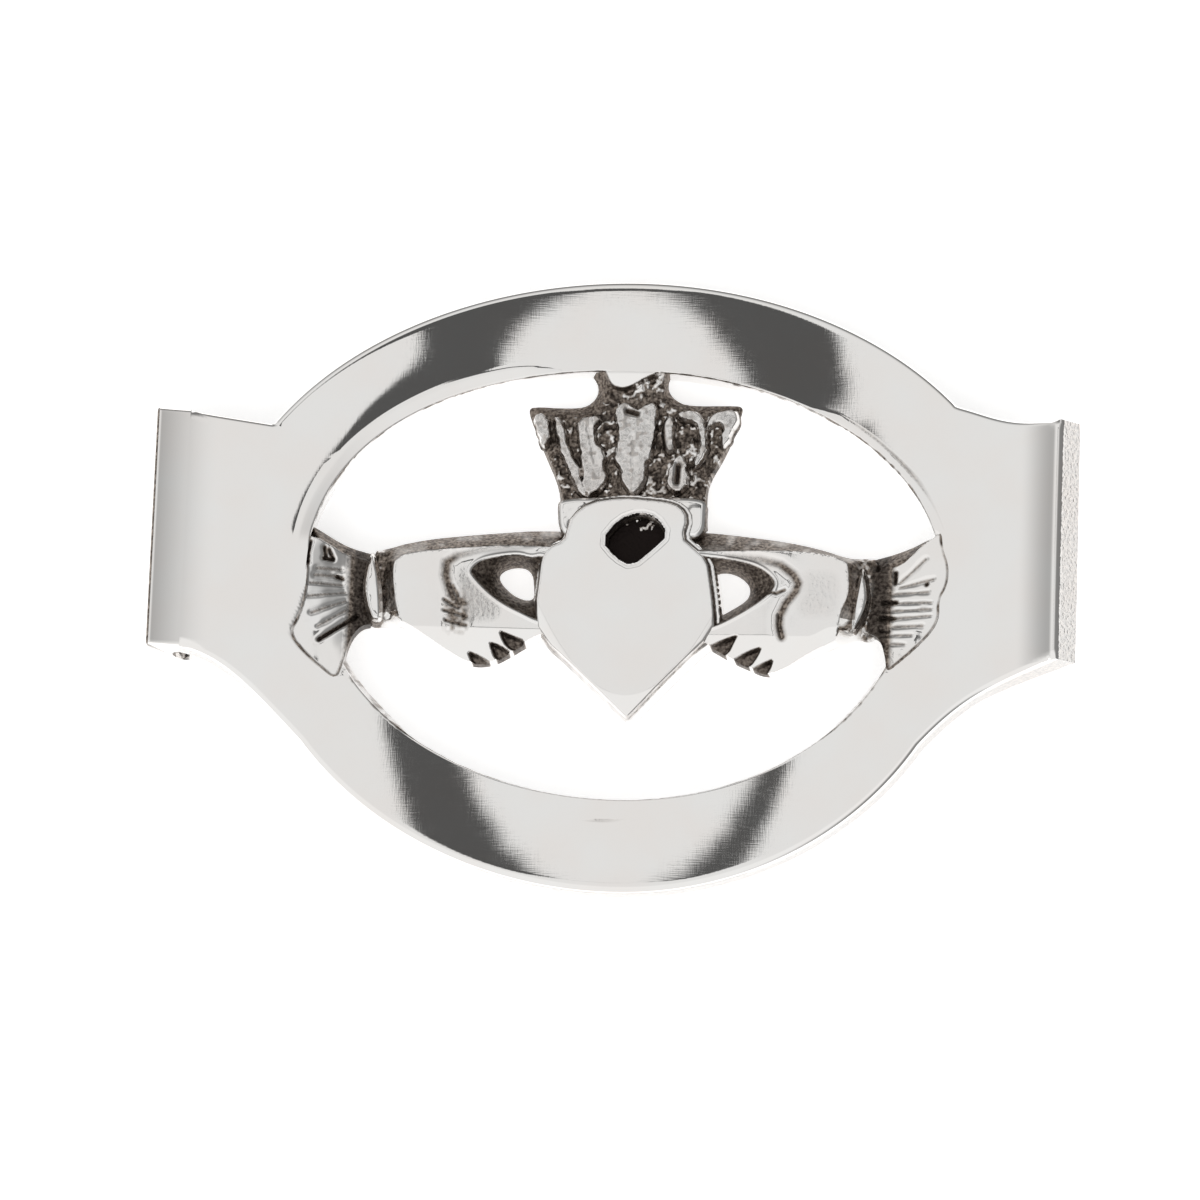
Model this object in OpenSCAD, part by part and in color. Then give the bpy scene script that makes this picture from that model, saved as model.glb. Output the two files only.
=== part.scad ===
// Pierced silver money clip: a folded strip with an oval rim in front, an open oval
// spring leaf behind, and a motif of crown, heart and two clasping hands in the rim.
// X runs along the clip from the fold to the open mouth, Y up the front, Z out of the front.
// The origin is under the middle of the clip, on the surface that it lies on.

/* [Clip] */
// Length from the fold to the lip of the mouth
clip_l = 54.6; // [50:0.1:60]
// Height of the oval rim
rim_h = 36.8; // [34:0.1:40]
// Distance of the oval's middle from the clip's middle, towards the mouth
rim_x = 0.75; // [0:0.05:1.5]
// Thickness of the front plate
front_t = 1.9; // [1.5:0.05:2.4]
// Thickness of the rear leaf
rear_t = 1.0; // [0.8:0.05:1.4]
// Gap between the leaves where they come closest
pinch_gap = 0.35; // [0.2:0.05:0.8]
// Radius of the front plate's shallow dish along the clip
dish_r = 170; // [140:5:260]

/* [Rim] */
// Half length of the upper outline, towards the fold
top_left_a = 24.2; // [23:0.1:25]
// Half length of the upper outline, towards the mouth
top_right_a = 23.8; // [23:0.1:25]
// Half length of the lower outline, towards the fold
low_left_a = 22.2; // [21:0.1:24]
// Half length of the lower outline, towards the mouth
low_right_a = 20.4; // [19.5:0.1:22]
// Half height of the window
hole_h = 12.9; // [12:0.1:13.5]
// Half length of the window above, towards the fold
hole_top_left_a = 18.8; // [18:0.1:19.5]
// Half length of the window above, towards the mouth
hole_top_right_a = 18.7; // [18:0.1:19.5]
// Half length of the window below, towards the fold
hole_low_left_a = 18; // [17:0.1:19]
// Half length of the window below, towards the mouth
hole_low_right_a = 16.7; // [16:0.1:17.5]

/* [Tabs] */
// Upper edge of both tabs
tab_top = 9.6; // [9:0.1:10.5]
// Lower edge of both tabs
tab_low = -4.65; // [-5.5:0.1:-4]
// Radius of the flared lip's underside
lip_r = 10; // [8:0.5:14]
// Angle that the lip reaches at its end
lip_angle = 42; // [30:1:50]
// Length of the fold, from its joint with the leaves to its outermost point
fold_l = 2.1; // [1.8:0.1:2.6]

/* [Rear leaf] */
// How far the rear leaf's outline lies inside the front's
rear_inset = 0.6; // [0.3:0.1:1]
// How far the rear leaf stops short of the lip
rear_short = 2.2; // [1:0.1:4]

/* [Motif] */
// Thickness of the backing plate under the crown and heart
backing_t = 0.8; // [0.6:0.05:1.1]
// Height of the heart's face over the front plate's underside
heart_top = 2.3; // [2:0.05:2.5]
// Height of the hands
hand_top = 2.1; // [1.8:0.05:2.4]
// Height of the wrist bands
band_top = 2.2; // [1.9:0.05:2.4]
// Height of the cuffs
cuff_top = 1.8; // [1.5:0.05:2]
// Height of the crown's raised leaves
fleur_top = 1.8; // [1.5:0.05:2.2]
// How far the motif's underside lies above the plate's
motif_lift = 0.1; // [0:0.05:0.3]

/* [Hidden] */

far = 60;                                  // reaches past the whole clip
fine = 256;                                // sides for the preview of a large circle
left_end = -clip_l / 2;
fold_x = left_end + fold_l;                // where both leaves meet the fold
dish_z = rear_t + pinch_gap + dish_r;      // height of the dish's centre line
lip_x = (clip_l / 2 - lip_r * sin(lip_angle) - lip_r * rim_x / dish_r) / (1 - lip_r / dish_r);
lip_start = asin((lip_x - rim_x) / dish_r); // slope where the lip starts
half_h = rim_h / 2;
notch_angle = 151;                         // where the oval meets the fold-side tab's top edge
silver = [0.84, 0.84, 0.83];
oxide = [0.2, 0.17, 0.15];

// Curves from the tabs' edges into the oval: the end on the tab and the two points that steer it
mouth_top_curve = [[24.6, tab_top + 0.1], [22.6, tab_top + 0.2], [21.6, tab_top + 0.8]];
fold_low_curve = [[-25.6, tab_low], [-22.8, tab_low - 0.4], [-21.2, tab_low - 2]];
mouth_low_curve = [[26.6, tab_low], [22.6, tab_low - 0.9], [20.6, tab_low - 2.2]];

function ellipse_arc(a, b, from, to, n = 24) =
    [for (i = [0:n]) let (t = from + (to - from) * i / n) [rim_x + a * cos(t), b * sin(t)]];
function bezier(p, q, r, s, n = 10) =
    [for (i = [1:n - 1]) let (t = i / n, u = 1 - t)
        u * u * u * p + 3 * u * u * t * q + 3 * u * t * t * r + t * t * t * s];
function last(points) = points[len(points) - 1];

function raised(points, dy) = [for (p = points) p + [0, dy]];

// Outline of a leaf from x0 to x1, drawn in by d all round
function leaf_outline(d, x0, x1) =
    let (
        top = tab_top - d,
        low = tab_low + d,
        b = half_h - d,
        right_top = ellipse_arc(top_right_a - d, b, 36, 90),
        left_top = ellipse_arc(top_left_a - d, b, 90, notch_angle),
        left_low = ellipse_arc(low_left_a - d, b, 213, 270),
        right_low = ellipse_arc(low_right_a - d, b, 270, 329),
        mouth_top = raised(mouth_top_curve, -d),
        fold_low = raised(fold_low_curve, d),
        mouth_low = raised(mouth_low_curve, d)
    )
    concat(
        [[x1, low], [x1, top], mouth_top[0]],
        bezier(mouth_top[0], mouth_top[1], mouth_top[2], right_top[0]),
        right_top, left_top, [[x0, top]], [[x0, low]],
        bezier([max(x0, fold_low[0].x), low], fold_low[1], fold_low[2], left_low[0]),
        left_low, right_low,
        bezier(last(right_low), mouth_low[2], mouth_low[1], mouth_low[0]),
        x1 > mouth_low[0].x ? [mouth_low[0]] : []
    );

// Outline of the window, widened by d
function window(d) =
    concat(
        ellipse_arc(hole_top_right_a + d, hole_h + d, 0, 90),
        ellipse_arc(hole_top_left_a + d, hole_h + d, 90, 180),
        ellipse_arc(hole_low_left_a + d, hole_h + d, 180, 270),
        ellipse_arc(hole_low_right_a + d, hole_h + d, 270, 360)
    );

// The motif's outlines
crown_shape = [[-5.2, 10.7], [-4.5, 8.6], [-3.4, 5.3], [-3.4, 3.5], [5.6, 3.5], [5.6, 5.4],
    [6.3, 8.7], [7.15, 10.8], [3.5, 10.9], [3.1, 11.4], [3.1, 13.2], [-1.05, 13.3], [-1, 11.4],
    [-1.5, 10.9]];
heart_tip = [1.1, -8.1];
heart_shape = concat(
    [heart_tip, [6.15, -2.8], [6.05, -1.3]],
    bezier([6.05, -1.3], [6, 0.6], [5.8, 1.3], [4.2, 2.7], 6),
    [[4.2, 2.7]],
    bezier([4.2, 2.7], [4.8, 3.9], [3.6, 5.1], [2.2, 5.1], 6),
    [[2.2, 5.1], [-0.8, 5.1]],
    bezier([-0.8, 5.1], [-2, 5], [-3.1, 3.8], [-2.7, 2.7], 6),
    [[-2.7, 2.7]],
    bezier([-2.7, 2.7], [-4, 1.6], [-4.3, 0.8], [-4.45, -1.5], 6),
    [[-4.45, -1.5], [-4.2, -3.1]]
);
cleft_shape = [[-0.65, 2.5], [0.3, 3.7], [1.5, 4.2], [2.5, 3.9], [3.2, 2.9], [2.3, 2.05],
    [1.15, 1.05], [0.2, 1.55]];
band_shape = [[-3.3, 5.35], [-3.3, 3.6], [-2.9, 3.15], [4.9, 3.15], [5.5, 3.6], [5.5, 5.4]];
// Each hand is drawn with its wrist at the origin, pointing at the heart along +X
hand_shape = concat(
    [[0, 1.7], [0, -2.7], [1.9, -2.8]],
    bezier([1.9, -2.8], [3.2, -3.3], [4.6, -5], [6.9, -5.1], 6),
    [[6.9, -5.1], [7.6, -4.8], [10.6, -3.2], [11.4, 3.1], [8, 2.95], [4, 2.5]]
);
finger_gap = [[6.9, 0.55], [7.85, 1.15], [8.75, 0.95], [8.95, -0.75], [8.4, -0.9], [7.3, -0.2]];
wrist_band_shape = [[-0.95, 1.65], [0, 1.7], [0, -2.7], [-0.95, -2.5]];
left_cuff_shape = [[-14.7, 1.65], [-16.2, 2], [-17.2, 2.6], [-17.9, 2.9], [-18.5, 1.2], [-18.6, 0],
    [-18.3, -2], [-17.4, -4.4], [-15.6, -4.6], [-15.2, -3.6], [-14.7, -2.5]];
right_cuff_shape = [[15.85, 1.65], [17.4, 2.2], [18.2, 3], [19.3, 3], [19.75, 1.2], [19.8, -0.4],
    [19.2, -2.7], [18, -4.1], [17, -5], [16.2, -4.9], [15.9, -3.8], [15.85, -2.5]];
left_wrist = -13.75;                       // where the left hand starts
right_wrist = 14.9;                        // where the right hand starts
right_hand_l = 0.93;                       // length of the right hand against its drawing
flute_angles = [-52, -30, -8, 14];         // directions of the cuffs' flutes
dish_start = -10;                          // slope of the dish just beyond the fold
dish_sides = 48;
lip_sides = 14;
flute_r = 0.3;
flute_l = 3.4;
finger_cut_size = [2.2, 0.22, 1.4];        // a dark cut between two finger tips
fold_corner = [0.25, 0.7];                 // how far the fold's upper corner is drawn in and down
fold_bulge_z = 2.2;                        // height of the fold's outermost point
fleuron = [[-0.15, 10.9], [2.25, 10.95], [2, 8.6], [1.05, 5.6], [0.1, 8.4]];
fleuron_rise = 0.2;                        // how far the middle leaf stands over the others
fleur_rows = [[-2.5, -0.9, 10.2, 5.7], [3.3, 5, 10.6, 7.5], [3, 4, 7.4, 5.6], [5.3, 6.4, 10.4, 8.7],
    [-4.5, -3.3, 10.2, 8.9], [-3.1, -2.75, 8.6, 5.7]];  // left, right, top and bottom of each leaf

function placed(points, wrist, along) = [for (p = points) [wrist + along * p.x, p.y]];
function at_angle(a) = [sin(a), -cos(a)];
function arc_points(centre, r, from, to, n) =
    [for (i = [0:n]) centre + r * at_angle(from + (to - from) * i / n)];

lip_low = [lip_x, dish_z - dish_r * cos(lip_start)];
lip_centre = lip_low - lip_r * at_angle(lip_start);
front_low_at_fold = dish_z - sqrt(dish_r ^ 2 - (fold_x - rim_x) ^ 2);
front_top_at_fold = dish_z - sqrt((dish_r - front_t) ^ 2 - (fold_x - rim_x) ^ 2);

module ring_2d(centre, r_out, r_in) {
    difference() {
        translate(centre) circle(r = r_out, $fn = fine);
        translate(centre) circle(r = r_in, $fn = fine);
    }
}

// Extrudes a section drawn in X and Z across the whole clip
module across() {
    translate([0, far / 2, 0]) rotate([90, 0, 0]) linear_extrude(far) children();
}

// A layer of the dish, from low to high over the front plate's underside
module dish_section(low, high) {
    intersection() {
        ring_2d([rim_x, dish_z], dish_r - low, dish_r - high);
        polygon([[fold_x, -3], lip_low + 4 * at_angle(lip_start), lip_low - 8 * at_angle(lip_start),
            [fold_x, 14]]);
    }
}

// The front plate's section: the dish from the fold, then the lip's arc
module front_section() {
    dish_centre = [rim_x, dish_z];
    polygon(concat(
        arc_points(dish_centre, dish_r, dish_start, lip_start, dish_sides),
        arc_points(lip_centre, lip_r, lip_start, lip_angle, lip_sides),
        arc_points(lip_centre, lip_r - front_t, lip_angle, lip_start, lip_sides),
        arc_points(dish_centre, dish_r - front_t, lip_start, dish_start, dish_sides)
    ));
}

module plate(points) { translate([0, 0, -1]) linear_extrude(15) polygon(points); }

// One piece of the motif: its outline cut from a layer of the dish
module relief(points, low, high) {
    intersection() {
        plate(points);
        across() dish_section(low, high);
    }
}

module front_frame() {
    color(silver) difference() {
        intersection() {
            plate(leaf_outline(0, fold_x, clip_l / 2 + 3));
            across() front_section();
        }
        plate(window(0));
        plate(left_cuff_shape);
        plate(right_cuff_shape);
    }
}

module spring_fold() {
    top = [fold_x, front_top_at_fold];
    corner = [left_end + fold_corner.x, front_top_at_fold - fold_corner.y];
    bulge = [left_end, fold_bulge_z];
    bottom = [fold_x, 0];
    inner_low = [fold_x, rear_t];
    inner_top = [fold_x, front_low_at_fold];
    color(silver) translate([0, tab_top, 0]) rotate([90, 0, 0]) linear_extrude(tab_top - tab_low)
        polygon(concat(
            [top],
            bezier(top, top + [-0.9, 0.14], corner + [0.1, 0.7], corner, 8),
            [corner],
            bezier(corner, corner + [-0.15, -0.6], bulge + [0, 0.8], bulge, 6),
            [bulge],
            bezier(bulge, bulge - [0, 1.4], bottom - [1.2, 0], bottom, 8),
            [bottom, inner_low],
            bezier(inner_low, inner_low - [0.9, 0], inner_top - [0.9, 0], inner_top, 8),
            [inner_top]
        ));
}

module rear_leaf() {
    color(silver) linear_extrude(rear_t) difference() {
        polygon(leaf_outline(rear_inset, fold_x, clip_l / 2 - rear_short));
        polygon(window(rear_inset));
    }
}

// The band of rim over the crown's neck, which the neck meets end to end
function rim_over_neck() = concat(
    ellipse_arc(hole_top_right_a, hole_h, 70, 90, 8),
    ellipse_arc(hole_top_left_a, hole_h, 90, 110, 8),
    [[-6, 16], [8, 16]]
);

module backing_plate() {
    color(oxide) union() {
        difference() {
            relief(crown_shape, motif_lift, backing_t);
            plate(rim_over_neck());
        }
        relief(heart_shape, motif_lift, backing_t);
    }
}

module crown_fleurs() {
    color(silver) union() {
        relief(fleuron, backing_t, fleur_top + fleuron_rise);
        for (f = fleur_rows)
            relief([[f[0], f[2]], [f[1], f[2]], [f[1], f[3]], [f[0], f[3]]], backing_t, fleur_top);
    }
}

// The arched band between the crown's leaves and the heart
module crown_band() {
    color(silver) difference() {
        relief(band_shape, backing_t, heart_top);
        plate(heart_shape);
    }
}

module heart() {
    color(silver) difference() {
        relief(heart_shape, backing_t, heart_top);
        plate(cleft_shape);
    }
}

module hand(wrist, along) {
    color(silver) difference() {
        relief(placed(hand_shape, wrist, along), motif_lift, hand_top);
        plate(heart_shape);
        plate(placed(finger_gap, wrist, along));
        for (i = [0:2])
            finger_cut([wrist + along * (7 + 0.75 * i), 0.75 * i - 4.75], along > 0 ? 24 : 156);
    }
}

// The dark cut between two finger tips
module finger_cut(middle, turn) {
    translate([middle.x, middle.y, hand_top + pinch_gap + rear_t]) rotate([0, 0, turn])
        cube(finger_cut_size, center = true);
}

module left_hand() { hand(left_wrist, 1); }
module right_hand() { hand(right_wrist, -right_hand_l); }

module left_wrist_band() {
    color(silver) relief(placed(wrist_band_shape, left_wrist, 1), motif_lift, band_top);
}
module right_wrist_band() {
    color(silver) relief(placed(wrist_band_shape, right_wrist, -1), motif_lift, band_top);
}

module cuff(points, wrist, along) {
    color(silver) difference() {
        relief(points, 0, cuff_top);
        for (a = flute_angles)
            translate([wrist + along, -1.1, cuff_top + 2.2]) rotate([0, 0, along > 0 ? a : 180 - a])
                translate([0.4, 0, 0]) rotate([0, 90, 0]) cylinder(r = flute_r, h = flute_l, $fn = 24);
    }
}

module left_cuff() { cuff(left_cuff_shape, left_wrist, -1); }
module right_cuff() { cuff(right_cuff_shape, right_wrist, 1); }

front_frame();
spring_fold();
rear_leaf();
backing_plate();
crown_fleurs();
crown_band();
heart();
left_hand();
right_hand();
left_wrist_band();
right_wrist_band();
left_cuff();
right_cuff();
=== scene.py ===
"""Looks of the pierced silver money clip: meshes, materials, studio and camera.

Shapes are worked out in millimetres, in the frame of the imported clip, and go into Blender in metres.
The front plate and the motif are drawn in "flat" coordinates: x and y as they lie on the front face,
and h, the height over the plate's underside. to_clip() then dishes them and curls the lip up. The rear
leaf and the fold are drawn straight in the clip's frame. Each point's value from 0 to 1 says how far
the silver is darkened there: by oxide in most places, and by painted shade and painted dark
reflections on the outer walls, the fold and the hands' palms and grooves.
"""

import math
from functools import partial

import bpy
import numpy as np
from mathutils import Matrix, Vector


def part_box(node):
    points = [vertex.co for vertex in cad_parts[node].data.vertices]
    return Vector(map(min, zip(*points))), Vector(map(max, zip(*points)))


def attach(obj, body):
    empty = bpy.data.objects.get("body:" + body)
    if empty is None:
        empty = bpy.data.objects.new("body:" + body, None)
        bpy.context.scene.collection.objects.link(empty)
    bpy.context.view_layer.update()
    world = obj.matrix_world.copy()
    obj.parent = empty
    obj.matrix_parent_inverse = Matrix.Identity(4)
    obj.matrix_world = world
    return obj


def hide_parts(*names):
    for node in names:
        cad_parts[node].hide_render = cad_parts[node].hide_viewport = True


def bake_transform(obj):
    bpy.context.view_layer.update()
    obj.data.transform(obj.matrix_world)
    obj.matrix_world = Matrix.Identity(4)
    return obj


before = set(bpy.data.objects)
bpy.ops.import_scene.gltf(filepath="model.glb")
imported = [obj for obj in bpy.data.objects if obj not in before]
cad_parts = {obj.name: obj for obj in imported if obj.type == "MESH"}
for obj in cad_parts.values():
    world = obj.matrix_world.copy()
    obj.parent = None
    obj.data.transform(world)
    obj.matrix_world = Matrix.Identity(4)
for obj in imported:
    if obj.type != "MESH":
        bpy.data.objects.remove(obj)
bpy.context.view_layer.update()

MM = 0.001

# ---- the frame's measures, in mm


def node_box(name):
    """A CAD node's box, in mm."""
    low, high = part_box(name)
    return np.array(low) / MM, np.array(high) / MM


front_low, front_high = node_box("front_frame")
fold_low, fold_high = node_box("spring_fold")
rear_high = node_box("rear_leaf")[1]

RIM_X = 0.75  # middle of the oval
HALF_H = front_high[1]  # half height of the oval
FOLD_X = fold_high[0]  # where both leaves meet the fold
LEFT_END = fold_low[0]
TAB_LOW, TAB_TOP = fold_low[1], fold_high[1]
REAR_T = rear_high[2]
FRONT_T = 1.9  # thickness of the front plate
DISH_R = 170.0  # radius of its underside
DISH_Z = front_low[2] + DISH_R  # height of the dish's centre line
LIP_R = 10.0  # radius of the lip's underside
LIP_ANGLE = math.radians(42)  # slope at the lip's end
CROWNING = 840.0  # radius of the front face across the clip

lip_x = (front_high[0] - LIP_R * math.sin(LIP_ANGLE) - LIP_R * RIM_X / DISH_R) / (1 - LIP_R / DISH_R)
LIP_START = math.asin((lip_x - RIM_X) / DISH_R)
LIP_CX = lip_x - LIP_R * math.sin(LIP_START)
LIP_CZ = DISH_Z - (DISH_R - LIP_R) * math.cos(LIP_START)
LIP_FACE_X = LIP_CX + (LIP_R - FRONT_T) * math.sin(LIP_START)  # where the lip starts, on the face
LIP_END = LIP_FACE_X + (LIP_ANGLE - LIP_START) * (LIP_R - FRONT_T)  # and ends


def to_clip(points):
    """Flat points as points of the dished and curled plate."""
    x, y, h = np.asarray(points, float).T
    dish_angle = np.arcsin(np.clip((x - RIM_X) / (DISH_R - FRONT_T), -1, 1))
    lip_angle = LIP_START + (x - LIP_FACE_X) / (LIP_R - FRONT_T)
    on_lip = x > LIP_FACE_X
    angle = np.where(on_lip, lip_angle, dish_angle)
    radius = np.where(on_lip, LIP_R, DISH_R) - h
    centre_x = np.where(on_lip, LIP_CX, RIM_X)
    centre_z = np.where(on_lip, LIP_CZ, DISH_Z)
    return np.stack([centre_x + radius * np.sin(angle), y, centre_z - radius * np.cos(angle)], 1)


# ---- curves and fields


def ellipse_arc(a, b, start, end, n):
    """n points of an ellipse round the oval's middle, between two angles in degrees."""
    t = np.radians(np.linspace(start, end, n))
    return np.stack([RIM_X + a * np.cos(t), b * np.sin(t)], 1)


def bezier(p, q, r, s, n):
    """n points of a cubic curve from p to s."""
    t = np.linspace(0, 1, n)[:, None]
    p, q, r, s = (np.array(v, float) for v in (p, q, r, s))
    return (1 - t) ** 3 * p + 3 * (1 - t) ** 2 * t * q + 3 * (1 - t) * t * t * r + t**3 * s


def line(p, q, n):
    return np.linspace(p, q, n)


def smooth(points, closed=True, rounds=2):
    """Corner cutting: a polygon as a smooth curve."""
    p = np.array(points, float)
    for _ in range(rounds):
        nxt = np.roll(p, -1, 0) if closed else p[1:]
        here = p if closed else p[:-1]
        cut = np.stack([0.75 * here + 0.25 * nxt, 0.25 * here + 0.75 * nxt], 1).reshape(-1, 2)
        p = cut if closed else np.concatenate([p[:1], cut, p[-1:]])
    return p


def distance(points, x, y, closed=False):
    """Distance from x, y to a polyline."""
    p = np.array(points, float)
    ends = np.roll(p, -1, 0) if closed else p[1:]
    starts = p if closed else p[:-1]
    best = np.full(np.shape(x), np.inf)
    for (ax, ay), (bx, by) in zip(starts, ends):
        dx, dy = bx - ax, by - ay
        length2 = dx * dx + dy * dy
        if length2 > 0:
            t = np.clip(((x - ax) * dx + (y - ay) * dy) / length2, 0, 1)
            best = np.minimum(best, (x - ax - t * dx) ** 2 + (y - ay - t * dy) ** 2)
    return np.sqrt(best)


def outline(points, x, y, rounds=2):
    """Signed distance to a polygon with its corners cut, negative inside."""
    p = smooth(points, rounds=rounds) if rounds else np.array(points, float)
    inside = np.zeros(np.shape(x), bool)
    for (ax, ay), (bx, by) in zip(p, np.roll(p, -1, 0)):
        if ay != by:
            inside ^= ((ay > y) != (by > y)) & (x < (bx - ax) * (y - ay) / (by - ay) + ax)
    d = distance(p, x, y, closed=True)
    return np.where(inside, -d, d)


def ramp(v, low, high):
    """A smooth step from 0 at low to 1 at high."""
    t = np.clip((v - low) / (high - low), 0, 1)
    return t * t * (3 - 2 * t)


def noise(x, y, size, seed):
    """Smooth noise from -1 to 1, with lumps about as wide as size."""
    table = np.random.default_rng(seed).random((64, 64)) * 2 - 1
    u, v = x / size + 200.3, y / size + 200.7
    i, j = np.floor(u).astype(int), np.floor(v).astype(int)
    a, b = ramp(u - i, 0, 1), ramp(v - j, 0, 1)
    low = table[i % 64, j % 64] * (1 - a) + table[(i + 1) % 64, j % 64] * a
    high = table[i % 64, (j + 1) % 64] * (1 - a) + table[(i + 1) % 64, (j + 1) % 64] * a
    return low * (1 - b) + high * b


def bump_at(d, width):
    """1 where d is 0, falling off on both sides over width."""
    return np.exp(-((d / width) ** 2))


def grain(x, y, seed):
    """The rough surface of the casting, about -1 to 1."""
    return 0.6 * noise(x, y, 0.28, seed) + 0.4 * noise(x, y, 0.13, seed + 1)


def worn_edge(d, r):
    """How far a rounded edge of radius r has dropped at depth d inside the outline."""
    t = np.clip(1 - d / r, 0, 0.97)
    return r * (1 - np.sqrt(1 - t * t))


# ---- mesh helpers


SHARP_ANGLE = math.radians(55)  # edges that turn by more are kept sharp


def add_mesh(name, points, faces, material, oxide_and_shade=None):
    """A mesh object with one material, from points in mm."""
    mesh = bpy.data.meshes.new(name)
    mesh.from_pydata((np.asarray(points) * MM).tolist(), [], faces)
    if oxide_and_shade is not None:
        layer = mesh.attributes.new("oxide_and_shade", "FLOAT", "POINT")
        layer.data.foreach_set("value", np.asarray(oxide_and_shade, np.float32))
    mesh.validate()
    mesh.shade_smooth()
    mesh.set_sharp_from_angle(angle=SHARP_ANGLE)
    mesh.materials.append(material)
    piece = bpy.data.objects.new(name, mesh)
    bpy.context.scene.collection.objects.link(piece)
    return piece


def grid_faces(rows, columns, close_rows, close_columns):
    """Quads of a grid of points held row by row, closed round either way."""
    r = np.arange(rows if close_rows else rows - 1)
    c = np.arange(columns if close_columns else columns - 1)
    a, b = np.meshgrid(r, c, indexing="ij")
    up, right = (a + 1) % rows, (b + 1) % columns
    quads = np.stack([a * columns + b, a * columns + right, up * columns + right, up * columns + b], -1)
    return quads.reshape(-1, 4).tolist()


# Corners of a cell that are inside, as bits 1, 2, 4, 8 from its lower left round to its upper left,
# and the polygons to draw: 0 to 3 are corners, 4 to 7 the crossings on the edges that follow them.
CELL_CASES = {
    1: [(0, 4, 7)], 2: [(1, 5, 4)], 4: [(2, 6, 5)], 8: [(3, 7, 6)],
    3: [(0, 1, 5, 7)], 6: [(1, 2, 6, 4)], 12: [(2, 3, 7, 5)], 9: [(3, 0, 4, 6)],
    5: [(0, 4, 7), (2, 6, 5)], 10: [(1, 5, 4), (3, 7, 6)],
    7: [(0, 1, 2, 6, 7)], 14: [(1, 2, 3, 7, 4)], 13: [(2, 3, 0, 4, 5)], 11: [(3, 0, 1, 5, 6)],
    15: [(0, 1, 2, 3)],
}


def clipped_grid(x, y, inside):
    """Cells of the grid x, y cut along inside = 0. Gives the polygons' points as weights on the grid:
    start, end and share of the way, and the polygons as lists of indices into those points."""
    rows, columns = x.shape
    index = np.arange(rows * columns).reshape(rows, columns)
    corner = [index[:-1, :-1], index[1:, :-1], index[1:, 1:], index[:-1, 1:]]
    flat = inside.ravel()
    state = sum((flat[c] > 0).astype(int) << k for k, c in enumerate(corner))
    keys, polygons = {}, []

    def point(a, b):
        key = (min(a, b), max(a, b))
        return keys.setdefault(key, len(keys))

    for case, shapes in CELL_CASES.items():
        for i, j in np.argwhere(state == case):
            c = [int(k[i, j]) for k in corner]
            for shape in shapes:
                polygons.append(
                    [point(c[k], c[k]) if k < 4 else point(c[k - 4], c[(k - 3) % 4]) for k in shape]
                )
    pairs = np.array(list(keys))
    low, high = flat[pairs[:, 0]], flat[pairs[:, 1]]
    gap = np.where(low == high, 1.0, low - high)
    on_corner = pairs[:, 0] == pairs[:, 1]
    share = np.where(on_corner, 0.0, np.clip(low / gap, 0.02, 0.98))
    return pairs, share, polygons


WALL_ROWS = 6  # rows of faces down a cast piece's side
UNDERSIDE_PATINA = 0.45
THINNEST = 0.05


def relief(name, box, cell, shape, low, material):
    """A cast piece: shape(x, y) gives the depth inside its outline, the height of its top and its oxide and
    painted shade at each point of a grid, and the piece is what lies between low and that top."""
    x0, x1, y0, y1 = box
    x, y = np.meshgrid(np.arange(x0, x1, cell), np.arange(y0, y1, cell), indexing="ij")
    inside, top, oxide_and_shade = shape(x, y)
    pairs, share, polygons = clipped_grid(x, y, inside)

    def at(values):
        flat = np.broadcast_to(values, x.shape).ravel()
        return flat[pairs[:, 0]] * (1 - share) + flat[pairs[:, 1]] * share

    px, py, ptop, ppat = at(x), at(y), np.maximum(at(top), low + THINNEST), at(oxide_and_shade)
    count = len(px)
    edges = {}
    for p in polygons:
        for a, b in zip(p, p[1:] + p[:1]):
            if edges.pop((b, a), None) is None:
                edges[(a, b)] = True
    rims = sorted({k for edge in edges for k in edge})
    place = {k: n for n, k in enumerate(rims)}
    points = [np.stack([px, py, ptop], 1), np.stack([px, py, np.full(count, low)], 1)]
    pats = [ppat, np.full(count, UNDERSIDE_PATINA)]
    for row in range(1, WALL_ROWS):
        t = row / WALL_ROWS
        h = ptop[rims] * (1 - t) + low * t
        points.append(np.stack([px[rims], py[rims], h], 1))
        pats.append(ppat[rims])

    def wall(k, row):
        if row == 0:
            return k
        return count + k if row == WALL_ROWS else 2 * count + (row - 1) * len(rims) + place[k]

    faces = polygons + [[count + k for k in reversed(p)] for p in polygons]
    for a, b in edges:
        for row in range(WALL_ROWS):
            faces.append([wall(b, row), wall(a, row), wall(a, row + 1), wall(b, row + 1)])
    return add_mesh(name, to_clip(np.concatenate(points)), faces, material, np.concatenate(pats))


# ---- front plate and rear leaf

UPPER_RIGHT, UPPER_LEFT, LOWER_LEFT, LOWER_RIGHT = 23.8, 24.2, 22.2, 20.4  # half lengths of the oval
WINDOW_RIGHTS, WINDOW_LEFTS = (18.7, 16.7), (18.8, 18.0)  # half lengths of the window, above and below
WINDOW_H = 12.9  # and its half height
SQUARENESS = 2.2  # of the window's upper left corner; 2 is an ellipse
CUFF_ANGLE = 17  # the window's halves run together within this angle, in degrees
BEVEL_LEFT, BEVEL_RIGHT = 0.8, 0.55  # widths of the bevel along the window's upper edge
BEVEL_SLOPE = 0.13
CURL_X, CURL = -22.9, 0.040  # where the face starts to curl up to the fold, and its curve
CUFF_SEAT = 0.35  # depth to which the face is cut down under a cuff
REAR_INSET = 0.6  # the rear leaf's edges lie this far within the front's
FRONT_ROUND, FRONT_ROUND_INNER, REAR_ROUND = 0.3, 0.08, 0.15
WINDOW_LEAN = 0.5  # how far the window's wall leans in at its lower corners


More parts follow.
